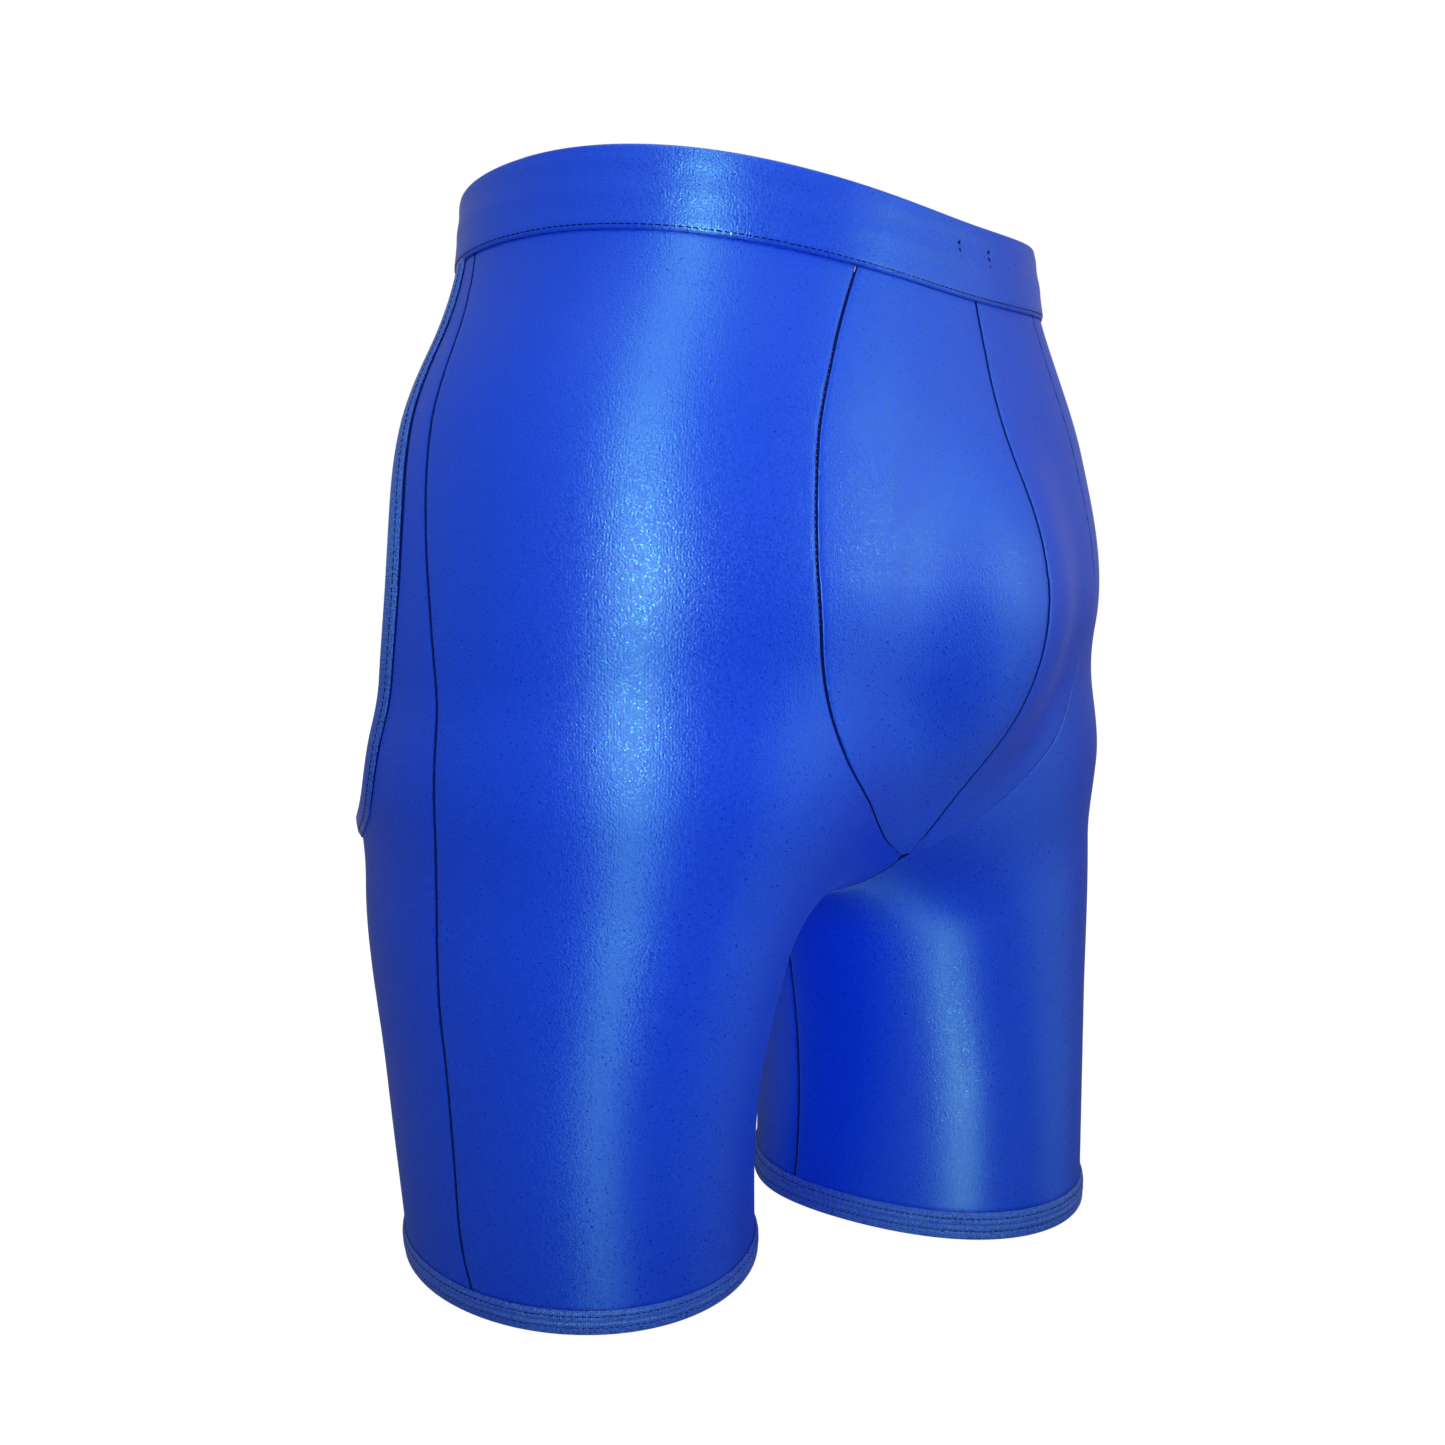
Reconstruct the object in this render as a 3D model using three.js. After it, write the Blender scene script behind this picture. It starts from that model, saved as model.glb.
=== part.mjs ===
// Stretch fight shorts with an open seat, held in the shape they have when worn.
// Millimetres, +Z up, front towards -Y, wearer's left towards +X, hems on z = 0.
import * as THREE from "three";

// ---------------------------------------------------------------- driving dimensions
const HEM_BAND = 12;
const SEAT_BAND = 8;
const WAIST_SIDE = 417;
const WAIST_TOP_SIDE = 447;
const WAIST_FRONT_DIP = 15.5;
const WAIST_BACK_DIP = 6;
const CLOTH = 1.0;
const BAND_THICK = 3.4;
const BAND_LEAF = 0.8;
const ELASTIC_THICK = 1.0;
const GAP = 0.35;
const SEAT_GAP = 0.8;
const THREAD = 0.7;
const THREAD_LIFT = 1.8;
const CENTRE = { x: 0.2583, y: -10.6819 };
// Rays that place the panels on a leg slope down by drop over radius, between these levels.
const WRAP = { drop: 75, radius: 90, from: 12, full: 110, fade: 200, end: 330 };
const HIP_LEVEL = 230;
const HIP_LEAN = 0.13;
const WAIST_CENTRE_Y = 4;
const RISE_CENTRE_Z = 250;
const POUCH_CENTRE_Y = -20;

// The body the cloth is stretched over. Leg rows: height, centre x, centre y, half width, half depth.
const LEG = [
  [0, 81, 3, 68.5, 81],
  [90, 95, 3, 70, 87],
  [175, 96.5, 4, 81, 98],
  [230, 89, 1, 81, 100],
  [300, 85, 3, 60, 80],
];
// Pelvis rows: height, half width, depth of the front, depth of the back.
const PELVIS = [
  [170, 158, 106, 108],
  [215, 179, 106, 124],
  [285, 185, 127, 138],
  [350, 174, 119, 102],
  [417, 135.5, 104, 103],
  [447, 126, 103, 112],
];
const PELVIS_SQUARENESS = 2.2;
const PELVIS_SCALE = 120;
const LEG_END = { from: 210, to: 310, rise: 30 };
const SEAT_ROUND = { from: 242, depth: 86 };
const POUCH_BULGE = { y: -81, z: 282.5, rx: 49, ry: 58.5, rz: 65.5 };
const BLEND = { legs: 20, pelvis: 42, pouch: 26 };
// The left leg stands forward and the right leg back, fading out at the hip.
const STRIDE = { reach: 38, top: 240, soften: 25, round: 0.15 };

// Seam lines. Side seam rows: height, turn round the leg (0 front, 90 outer side).
const SIDE_SEAM = [
  [0, 76],
  [30, 82],
  [60, 84.5],
  [100, 88],
  [140, 91],
  [185, 90],
  [230, 85],
  [265, 84],
  [305, 86.5],
  [350, 91.5],
  [380, 97],
  [417, 110],
];
// Pouch seams, from the tip up: half width, height. The right one is pulled further round.
const POUCH_SEAM = {
  right: [
    [2, 181],
    [19, 189],
    [48, 207],
    [78, 231],
    [94, 262],
    [101, 300],
    [94, 345],
    [81, 375],
    [63, 406],
  ],
  left: [
    [2, 181],
    [17, 190],
    [42, 208],
    [68, 233],
    [83, 265],
    [87, 300],
    [78, 345],
    [66, 375],
    [56, 406],
  ],
};
// Edge of the open seat, from under the crotch round the leg and up the hip: turn and level of the
// ray that places it, which near the crotch lies higher than the edge itself.
const SEAT_EDGE = [
  [225, 178],
  [200, 200],
  [165, 214],
  [135, 214],
  [116, 225],
  [106, 252],
  [100.5, 283],
  [99.5, 309],
  [102, 334],
  [112, 380],
  [123, 413],
];
const SEAT_EDGE_CENTRE = 16;
const POUCH_TIP = 48;
const LINING_TOP = 296;
const POUCH_STEPS = 13;
const SEAT_STEPS = 32;
const INSEAM_HEM_TURN = -110;
const TACK_AZIMUTH = 5.5;
const SEAM_TURN = 0.2;
// Where the rows from each part of a panel's inner boundary end, as shares of the side seam.
const FRONT_ROWS = { leg: [0, 0.34], crotch: [0.37, 0.46], pouch: [0.49, 1] };
const BACK_ROWS = { leg: [0, 0.3], crotch: [0.32, 0.335], under: [0.35, 0.45], hip: [0.5, 1] };
const BACK_STEPS = { leg: 8, crotch: 1, under: 13, hip: 17 };
const EASE = 0.4;

// ---------------------------------------------------------------- the formed surface
function tableAt(rows, z) {
  const last = rows.length - 1;
  const at = THREE.MathUtils.clamp(z, rows[0][0], rows[last][0]);
  let k = 0;
  while (k < last - 1 && at >= rows[k + 1][0]) k += 1;
  const slope = (i, c) => {
    const lo = rows[Math.max(i - 1, 0)];
    const hi = rows[Math.min(i + 1, last)];
    return (hi[c] - lo[c]) / (hi[0] - lo[0]);
  };
  const h = rows[k + 1][0] - rows[k][0];
  const s = (at - rows[k][0]) / h;
  const out = [];
  for (let c = 1; c < rows[0].length; c += 1) {
    const a = rows[k][c];
    const b = rows[k + 1][c];
    const ma = slope(k, c) * h;
    const mb = slope(k + 1, c) * h;
    const near = (2 * s ** 3 - 3 * s ** 2 + 1) * a + (s ** 3 - 2 * s ** 2 + s) * ma;
    out.push(near + (3 * s ** 2 - 2 * s ** 3) * b + (s ** 3 - s ** 2) * mb);
  }
  return out;
}

function blend(a, b, k) {
  const h = THREE.MathUtils.clamp(0.5 + (0.5 * (b - a)) / k, 0, 1);
  return b * (1 - h) + a * h - k * h * (1 - h);
}

function strideAt(x, z) {
  const left = 1 - z / STRIDE.top;
  const fade = (left + Math.hypot(left, STRIDE.round)) / 2;
  return (x / Math.hypot(x, STRIDE.soften)) * STRIDE.reach * fade;
}

// Distance-like value: negative inside the body, zero on the cloth's middle surface.
function field(x, y, z) {
  const back = y + strideAt(x, z);
  const [cx, cy, a, b] = tableAt(LEG, z);
  const leg = (s) => (Math.hypot((s * x - cx) / a, (back - cy) / b) - 1) * Math.sqrt(a * b);
  const legEnd = THREE.MathUtils.smoothstep(z, LEG_END.from, LEG_END.to) * LEG_END.rise;
  let d = blend(leg(1), leg(-1), BLEND.legs) + legEnd;
  const [w, front, rear] = tableAt(PELVIS, z);
  const depth = back < 0 ? front : rear;
  const n = PELVIS_SQUARENESS;
  const low = Math.max((SEAT_ROUND.from - z) / SEAT_ROUND.depth, 0);
  const r = (Math.abs(x / w) ** n + Math.abs(back / depth) ** n + low ** n) ** (1 / n);
  d = blend(d, (r - 1) * Math.min(Math.sqrt(w * depth), PELVIS_SCALE), BLEND.pelvis);
  const p = POUCH_BULGE;
  const q = Math.hypot(x / p.rx, (y - p.y) / p.ry, (z - p.z) / p.rz);
  return blend(d, (q - 1) * p.rx, BLEND.pouch);
}

function normalAt(p) {
  const e = 0.4;
  return new THREE.Vector3(
    field(p.x + e, p.y, p.z) - field(p.x - e, p.y, p.z),
    field(p.x, p.y + e, p.z) - field(p.x, p.y - e, p.z),
    field(p.x, p.y, p.z + e) - field(p.x, p.y, p.z - e),
  ).normalize();
}

// First place where a ray from inside the body meets the surface.
function cast(origin, direction) {
  const p = new THREE.Vector3();
  const stride = 3;
  const farthest = 300;
  const value = (t) => {
    p.copy(direction).multiplyScalar(t).add(origin);
    return field(p.x, p.y, p.z);
  };
  let hi = stride;
  while (value(hi) < 0 && hi < farthest) hi += stride;
  let lo = hi - stride;
  for (let i = 0; i < 24; i += 1) {
    const mid = (lo + hi) / 2;
    if (value(mid) < 0) lo = mid;
    else hi = mid;
  }
  return p.copy(direction).multiplyScalar(hi).add(origin).clone();
}

// The line inside each half that turns are counted about: the leg's centre, then up into the hip.
function axisAt(side, z) {
  const [cx, cy] = tableAt(LEG, Math.min(z, HIP_LEVEL));
  const x = side * (cx - HIP_LEAN * Math.max(z - HIP_LEVEL, 0));
  return new THREE.Vector3(x, cy - strideAt(x, z), z);
}

// Rays run level at hem and waist and slope down from the hip joint near the crotch.
function dropAt(z) {
  const rise = THREE.MathUtils.smoothstep(z, WRAP.from, WRAP.full);
  return WRAP.drop * rise * (1 - THREE.MathUtils.smoothstep(z, WRAP.fade, WRAP.end));
}

function onLeg(side, turn, z) {
  const a = THREE.MathUtils.degToRad(turn);
  const drop = dropAt(z);
  const ray = new THREE.Vector3(side * Math.sin(a), -Math.cos(a), -drop / WRAP.radius);
  return cast(axisAt(side, z + drop), ray.normalize());
}

// The turn and level that onLeg would need for a point on the surface.
function unwrap(side, p, lowTurn) {
  let level = p.z;
  let o = axisAt(side, level);
  for (let i = 0; i < 12; i += 1) {
    const drop = dropAt(level);
    o = axisAt(side, level + drop);
    level = p.z + drop * (Math.hypot(p.x - o.x, p.y - o.y) / WRAP.radius - 1);
  }
  const turn = THREE.MathUtils.radToDeg(Math.atan2(side * (p.x - o.x), o.y - p.y));
  return { turn: turn < lowTurn ? turn + 360 : turn, level };
}

function onWaist(azimuth, z) {
  const a = THREE.MathUtils.degToRad(azimuth);
  const outwards = new THREE.Vector3(Math.sin(a), -Math.cos(a), 0);
  return cast(new THREE.Vector3(0, WAIST_CENTRE_Y, z), outwards);
}

function waistDip(azimuth) {
  const c = Math.cos(THREE.MathUtils.degToRad(azimuth));
  return (c > 0 ? WAIST_FRONT_DIP : WAIST_BACK_DIP) * c * c;
}

function waistSeamOver(p) {
  const azimuth = THREE.MathUtils.radToDeg(Math.atan2(p.x, WAIST_CENTRE_Y - p.y));
  return WAIST_SIDE - waistDip(azimuth);
}

// Middle line of the crotch: 0 straight down, positive towards the front.
function onRise(angle) {
  const a = THREE.MathUtils.degToRad(angle);
  const outwards = new THREE.Vector3(0, -Math.sin(a), -Math.cos(a));
  return cast(new THREE.Vector3(0, 0, RISE_CENTRE_Z), outwards);
}

function onFront(x, z) {
  return cast(new THREE.Vector3(x, POUCH_CENTRE_Y, z), new THREE.Vector3(0, -1, 0));
}

// ---------------------------------------------------------------- solids through sections
// Each section is a loop whose first half pairs with its second half read backwards. A thin sheet
// has both halves cut along the same diagonals, so that its two walls never cross.
function loft(sections, closed, thin = false) {
  const n = sections[0].length;
  const positions = sections.flat().flatMap((p) => [p.x - CENTRE.x, p.y - CENTRE.y, p.z]);
  const index = [];
  const quad = (a, b, c, d) => index.push(a, b, c, a, c, d);
  const spans = closed ? sections.length : sections.length - 1;
  for (let i = 0; i < spans; i += 1) {
    const here = i * n;
    const next = ((i + 1) % sections.length) * n;
    for (let j = 0; j < n; j += 1) {
      const k = (j + 1) % n;
      if (thin && j >= n / 2) quad(here + k, next + k, next + j, here + j);
      else quad(here + j, here + k, next + k, next + j);
    }
  }
  if (!closed) {
    const end = (sections.length - 1) * n;
    for (let j = 0; j < n / 2 - 1; j += 1) {
      quad(j, n - 1 - j, n - 2 - j, j + 1);
      quad(end + j, end + j + 1, end + n - 2 - j, end + n - 1 - j);
    }
  }
  const geometry = new THREE.BufferGeometry();
  geometry.setAttribute("position", new THREE.Float32BufferAttribute(positions, 3));
  geometry.setIndex(volumeOf(positions, index) < 0 ? index.reverse() : index);
  geometry.computeVertexNormals();
  return geometry;
}

function volumeOf(positions, index) {
  const at = (i) => new THREE.Vector3(positions[3 * i], positions[3 * i + 1], positions[3 * i + 2]);
  let sum = 0;
  for (let i = 0; i < index.length; i += 3) {
    sum += at(index[i]).dot(at(index[i + 1]).cross(at(index[i + 2])));
  }
  return sum;
}

function steps(count, from = 0, to = 1) {
  return Array.from({ length: count + 1 }, (_, i) => from + ((to - from) * i) / count);
}

// A sheet of cloth: rows of points on the surface, given half a thickness each way.
function sheet(rows, inner = -CLOTH / 2, outer = CLOTH / 2) {
  const sections = rows.map((row) => {
    const normals = row.map(normalAt);
    const face = (off) => row.map((p, i) => p.clone().addScaledVector(normals[i], off));
    return [...face(outer), ...face(inner).reverse()];
  });
  return loft(sections, false, true);
}

// Corners of a folded band: height from the fold and offset from the cloth's middle.
function foldCorners(height) {
  const out = BAND_THICK / 2;
  const leaf = out - BAND_LEAF;
  const fold = BAND_LEAF;
  return [
    [height, out],
    [0, out],
    [0, -out],
    [height, -out],
    [height, -leaf],
    [fold, -leaf],
    [fold, leaf],
    [height, leaf],
  ];
}

// Corners of the flat elastic inside such a band.
function elasticCorners(height) {
  const half = ELASTIC_THICK / 2;
  const low = BAND_LEAF + GAP;
  return [
    [low, half],
    [height - 2, half],
    [height - 2, -half],
    [low, -half],
  ];
}

// A ring or strip of band: place(station, height, offset) gives each corner.
function band(stations, corners, place, closed) {
  const sections = stations.map((s) => corners.map(([h, off]) => place(s, h, off)));
  return loft(sections, closed);
}

// A square-sectioned thread lying just outside the cloth along a line on the surface.
function thread(points, lift = THREAD_LIFT, closed = false) {
  const half = THREAD / 2;
  const last = points.length - 1;
  const sections = points.map((p, i) => {
    const before = points[closed ? (i + last) % points.length : Math.max(i - 1, 0)];
    const after = points[closed ? (i + 1) % points.length : Math.min(i + 1, last)];
    const along = after.clone().sub(before).normalize();
    const out = normalAt(p);
    const across = out.clone().cross(along).normalize();
    const corner = (a, o) => p.clone().addScaledVector(across, a).addScaledVector(out, lift + o);
    return [corner(-half, half), corner(half, half), corner(half, -half), corner(-half, -half)];
  });
  return loft(sections, closed);
}

// ---------------------------------------------------------------- seam lines
function shifted(points, x) {
  return points.map((p) => new THREE.Vector3(p.x + x, p.y, p.z));
}

// Middle line of pouch and crotch: 0 straight down, positive towards the front.
function middleLine(count, from, to) {
  return steps(count, from, to).map((angle) => onRise(angle));
}

// Inner leg seam from a height up to the crotch, leaning back towards the hem.
function inseam(side, count, from) {
  const cross = unwrap(side, onRise(0), -200);
  return steps(count, from, cross.level - 2).map((level) => {
    const turn = cross.turn + (INSEAM_HEM_TURN - cross.turn) * (1 - level / cross.level);
    return onLeg(side, turn, level);
  });
}

function pouchSeam(side, count) {
  const rows = side < 0 ? POUCH_SEAM.right : POUCH_SEAM.left;
  const curve = new THREE.CatmullRomCurve3(rows.map(([x, z]) => new THREE.Vector3(x, 0, z)));
  const line = curve.getSpacedPoints(count).map((p) => onFront(side * p.x, p.z));
  const end = line[count];
  line[count] = onFront(end.x, waistSeamOver(end) - GAP);
  return line;
}

function sideSeam(side, heights) {
  return heights.map((z) => onLeg(side, tableAt(SIDE_SEAM, z)[0], z));
}

// Fold of the seat binding, from the middle under the crotch to the waistband.
function seatEdge(side, count) {
  const start = onRise(-SEAT_EDGE_CENTRE);
  start.x += side * GAP;
  const { turn: turn0, level: level0 } = unwrap(side, start, 90);
  const points = SEAT_EDGE.map(([turn, level]) => new THREE.Vector3(turn, level, 0));
  points.unshift(new THREE.Vector3(turn0, level0, 0));
  const curve = new THREE.CatmullRomCurve3(points, false, "centripetal");
  const line = curve.getSpacedPoints(count).map((p) => onLeg(side, p.x, p.y));
  line[0] = start;
  return line;
}

function settle(p) {
  for (let i = 0; i < 3; i += 1) p.addScaledVector(normalAt(p), -field(p.x, p.y, p.z));
  return p;
}

// A point at a distance from the seat's edge, over the cloth, and off its surface.
function besideSeatEdge(edge, i, distance, offset) {
  const along = edge[Math.min(i + 1, edge.length - 1)].clone().sub(edge[Math.max(i - 1, 0)]);
  const across = normalAt(edge[i]).cross(along).normalize();
  const towardsCloth = Math.sign(edge[0].x);
  const p = settle(edge[i].clone().addScaledVector(across, distance * towardsCloth));
  p.addScaledVector(normalAt(p), offset);
  if (i === 0) p.x = edge[0].x;
  return p;
}

// ---------------------------------------------------------------- panels
// Height as a share of the way from hem band to waist seam.
function seamHeight(side, turn) {
  return waistSeamOver(onLeg(side, turn, WAIST_SIDE - 10)) - GAP;
}

function onPanel(side, turn, share) {
  const low = HEM_BAND + GAP;
  return onLeg(side, turn, low + share * (seamHeight(side, turn) - low));
}

// Rows of points between an inner boundary and the side seam.
function legRows(side, boundary, shares, columns, low, towardsInner) {
  return boundary.map((from, i) => {
    const { turn, level } = unwrap(side, from, low);
    const base = HEM_BAND + GAP;
    const t0 = turn - towardsInner * SEAM_TURN;
    const v0 = Math.min((level - base) / (seamHeight(side, t0) - base), 1);
    const v1 = shares[i];
    const sideTurn = tableAt(SIDE_SEAM, base + v1 * (WAIST_SIDE - base))[0];
    const t1 = sideTurn + towardsInner * SEAM_TURN;
    return steps(columns).map((step) => {
      const u = step * (EASE + (1 - EASE) * step);
      return onPanel(side, t0 + (t1 - t0) * u, v0 + (v1 - v0) * u);
    });
  });
}

function legFront(side) {
  const leg = inseam(side, 8, HEM_BAND + GAP);
  const crotch = shifted(middleLine(4, 0, POUCH_TIP), side * GAP);
  const pouch = pouchSeam(side, POUCH_STEPS);
  const { leg: a, crotch: b, pouch: c } = FRONT_ROWS;
  const shares = [...steps(8, ...a), ...steps(4, ...b), ...steps(POUCH_STEPS, ...c)];
  return sheet(legRows(side, [...leg, ...crotch, ...pouch], shares, 10, -200, -1));
}

function legBack(side) {
  const leg = inseam(side, BACK_STEPS.leg, HEM_BAND + GAP);
  const crotch = shifted(middleLine(BACK_STEPS.crotch, 0, -SEAT_EDGE_CENTRE / 2), side * GAP);
  const edge = seatEdge(side, SEAT_STEPS);
  const seat = edge.map((p, i) => besideSeatEdge(edge, i, SEAT_BAND + SEAT_GAP, 0)).slice(1);
  const shares = Object.keys(BACK_ROWS).flatMap((k) => steps(BACK_STEPS[k], ...BACK_ROWS[k]));
  return sheet(legRows(side, [...leg, ...crotch, ...seat], shares, 9, 90, 1));
}

// Rows between the middle line and the pouch seam, up to a height.
function pouchRows(side, columns, limit) {
  const seam = pouchSeam(side, POUCH_STEPS);
  const first = onRise(POUCH_TIP + 1.5);
  const top = WAIST_SIDE - WAIST_FRONT_DIP - GAP;
  const rows = seam.map((p, i) => {
    const z0 = first.z + ((top - first.z) * i) / POUCH_STEPS;
    const x1 = p.x - side * GAP;
    return steps(columns).map((u) => {
      const x = side * GAP * (1 - u) + x1 * u;
      const q = onFront(x, z0 + (p.z - z0) * u);
      return i < POUCH_STEPS ? q : onFront(x, waistSeamOver(q) - GAP);
    });
  });
  return rows.filter((row) => row[0].z < limit);
}

function pouchFront(side) {
  return sheet(pouchRows(side, 5, Infinity));
}

function pouchLining(side) {
  return sheet(pouchRows(side, 5, LINING_TOP), -CLOTH / 2 - 1.6, -CLOTH / 2 - 1);
}

// ---------------------------------------------------------------- bands
function hemPlace(side) {
  return (turn, height, offset) => {
    const p = onLeg(side, turn, height);
    const out = normalAt(p).setZ(0).normalize();
    return p.addScaledVector(out, offset);
  };
}

// The waistband stands straight between its seam and its fold.
function waistPlace(azimuth, height, offset) {
  const dip = waistDip(azimuth);
  const fold = onWaist(azimuth, WAIST_TOP_SIDE - dip);
  const seam = onWaist(azimuth, WAIST_SIDE - dip);
  const p = fold.clone().lerp(seam, height / (WAIST_TOP_SIDE - WAIST_SIDE));
  return p.addScaledVector(normalAt(seam).setZ(0).normalize(), offset);
}

function round(count) {
  return steps(count, 0, 360).slice(0, -1);
}

function seatBand(side, corners, first = 1) {
  const edge = seatEdge(side, SEAT_STEPS);
  const place = (i, h, off) => besideSeatEdge(edge, i, h, off);
  return band(edge.map((_, i) => i).slice(first), corners, place, false);
}

// ---------------------------------------------------------------- threads
const OVER_BAND = BAND_THICK / 2 + GAP + THREAD / 2;

// Corners of a thread that lies over a band, from one height to another.
function overBand(low, high) {
  const near = OVER_BAND - THREAD / 2;
  const far = OVER_BAND + THREAD / 2;
  return [
    [low, near],
    [low, far],
    [high, far],
    [high, near],
  ];
}

function rowOver(height) {
  return overBand(height - THREAD / 2, height + THREAD / 2);
}

function waistTack(side) {
  const stations = [TACK_AZIMUTH - 0.2, TACK_AZIMUTH + 0.2].map((a) => side * a);
  return band(stations, overBand(10, 15), waistPlace, false);
}

// ---------------------------------------------------------------- the garment
const COLOURS = {
  face: { color: "#1c4fd6", roughness: 0.38, metalness: 0.0 },
  binding: { color: "#1a48c8", roughness: 0.5, metalness: 0.0 },
  lining: { color: "#2a56c4", roughness: 0.8, metalness: 0.0 },
  elastic: { color: "#e8e8ea", roughness: 0.9, metalness: 0.0 },
  thread: { color: "#10309c", roughness: 0.6, metalness: 0.0 },
};
const shorts = new THREE.Group();

function add(name, geometry, finish) {
  const mesh = new THREE.Mesh(geometry, new THREE.MeshStandardMaterial(COLOURS[finish]));
  mesh.name = name;
  shorts.add(mesh);
}

const waistHeight = WAIST_TOP_SIDE - WAIST_SIDE;
add("waistband_cover", band(round(64), foldCorners(waistHeight), waistPlace, true), "face");
add("waistband_elastic", band(round(64), elasticCorners(waistHeight), waistPlace, true), "elastic");
add("waistband_seam_thread", band(round(64), rowOver(waistHeight - 2), waistPlace, true), "thread");
add("centre_seam_thread", thread(middleLine(18, POUCH_TIP + 3, 143.5)), "thread");
add("crotch_seam_thread", thread(middleLine(7, -6, POUCH_TIP - 2), 2.6), "thread");

for (const [word, side] of [["right", -1], ["left", 1]]) {
  const hem = (corners) => band(round(48), corners, hemPlace(side), true);
  const sideHeights = steps(20, HEM_BAND + 2, WAIST_SIDE - 3);
  add(word + "_front_panel", legFront(side), "face");
  add(word + "_back_panel", legBack(side), "face");
  add(word + "_pouch_panel", pouchFront(side), "face");
  add(word + "_pouch_lining", pouchLining(side), "lining");
  add(word + "_side_seam_thread", thread(sideSeam(side, sideHeights)), "thread");
  add(word + "_inseam_thread", thread(inseam(side, 12, HEM_BAND + 2).slice(0, -2)), "thread");
  add(word + "_pouch_seam_thread", thread(pouchSeam(side, POUCH_STEPS).slice(1, -1)), "thread");
  add(word + "_hem_binding", hem(foldCorners(HEM_BAND)), "binding");
  add(word + "_hem_elastic", hem(elasticCorners(HEM_BAND)), "elastic");
  add(word + "_hem_thread", hem(rowOver(HEM_BAND - 3)), "thread");
  add(word + "_seat_binding", seatBand(side, foldCorners(SEAT_BAND), 0), "binding");
  add(word + "_seat_elastic", seatBand(side, elasticCorners(SEAT_BAND)), "elastic");
  add(word + "_seat_thread", seatBand(side, rowOver(SEAT_BAND - 2)), "thread");
  add(word + "_waistband_tack", waistTack(side), "thread");
}

export default shorts;
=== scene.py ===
import bmesh
import bpy
import numpy as np
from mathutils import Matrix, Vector


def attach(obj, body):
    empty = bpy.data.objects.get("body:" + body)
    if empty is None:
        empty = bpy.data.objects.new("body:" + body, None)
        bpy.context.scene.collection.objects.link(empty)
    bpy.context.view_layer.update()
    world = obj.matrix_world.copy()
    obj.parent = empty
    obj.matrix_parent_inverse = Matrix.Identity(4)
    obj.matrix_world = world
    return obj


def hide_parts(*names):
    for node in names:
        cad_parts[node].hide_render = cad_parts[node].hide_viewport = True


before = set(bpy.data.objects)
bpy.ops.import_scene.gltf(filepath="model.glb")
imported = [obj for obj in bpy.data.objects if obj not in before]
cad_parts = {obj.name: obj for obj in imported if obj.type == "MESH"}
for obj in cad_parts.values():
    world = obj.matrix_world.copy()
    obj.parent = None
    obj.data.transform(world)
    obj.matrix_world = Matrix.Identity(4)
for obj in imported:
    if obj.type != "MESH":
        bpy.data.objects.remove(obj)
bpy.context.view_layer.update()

# ---------------------------------------------------------------- camera
# Close to the wearer's right front, a little above half the height of the shorts.
CAMERA_PLACE = (-0.4523, -0.3727, 0.2975)
CAMERA_LOOK = (0.7378, 0.6655, -0.1131)
FRAME_PIXELS = 1445
FOCAL_PIXELS = 1310.5
SENSOR = 36.0

camera = bpy.data.objects.new("camera", bpy.data.cameras.new("camera"))
camera.data.sensor_width = SENSOR
camera.data.lens = FOCAL_PIXELS / FRAME_PIXELS * SENSOR
camera.data.clip_start = 0.01
camera.location = CAMERA_PLACE
camera.rotation_euler = Vector(CAMERA_LOOK).to_track_quat("-Z", "Y").to_euler()
bpy.context.scene.collection.objects.link(camera)
bpy.context.scene.camera = camera

# ---------------------------------------------------------------- leg front panels
# Two panels of shiny stretch knit, each from the pouch and inner leg seams round to the side
# seam, with every edge turned under and sewn. All panels are cut to one smooth worn shape, kept
# here in millimetres. Leg rows: height, centre x, centre y, half width, half depth.
LEG = np.array([
    [0, 81, 3, 68.5, 81],
    [90, 95, 3, 70, 87],
    [175, 96.5, 4, 81, 98],
    [230, 89, 1, 81, 100],
    [300, 85, 3, 60, 80],
], float)
# Pelvis rows: height, half width, depth of the front, depth of the back.
PELVIS = np.array([
    [170, 158, 106, 108],
    [215, 179, 106, 124],
    [285, 185, 127, 138],
    [350, 174, 119, 102],
    [417, 135.5, 104, 103],
    [447, 126, 103, 112],
], float)
SQUARENESS = 2.2
SEAT_ROUND_FROM, SEAT_ROUND_DEPTH = 242, 86
POUCH_PLACE, POUCH_SIZE = (-81, 282.5), (49, 58.5, 65.5)
BLEND_LEGS, BLEND_PELVIS, BLEND_POUCH = 20, 42, 26
# The left leg stands forward and the right leg back, fading out at the hip.
STRIDE_REACH, STRIDE_TOP, STRIDE_SOFTEN, STRIDE_ROUND = 38, 240, 25, 0.15
LEG_END_FROM, LEG_END_TO, LEG_END_RISE = 210, 310, 30
PELVIS_SCALE = 120
HIP_LEVEL, HIP_LEAN = 230, 0.13
# Rays that place the leg panels slope down by drop over radius, between these levels.
WRAP_DROP, WRAP_RADIUS = 75, 90
WRAP_FROM, WRAP_FULL, WRAP_FADE, WRAP_END = 12, 110, 200, 330
WAIST_CENTRE_Y, RISE_CENTRE_Z, POUCH_CENTRE_Y = 4, 250, -20
CENTRE = np.array([0.2583, -10.6819, 0])


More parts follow.
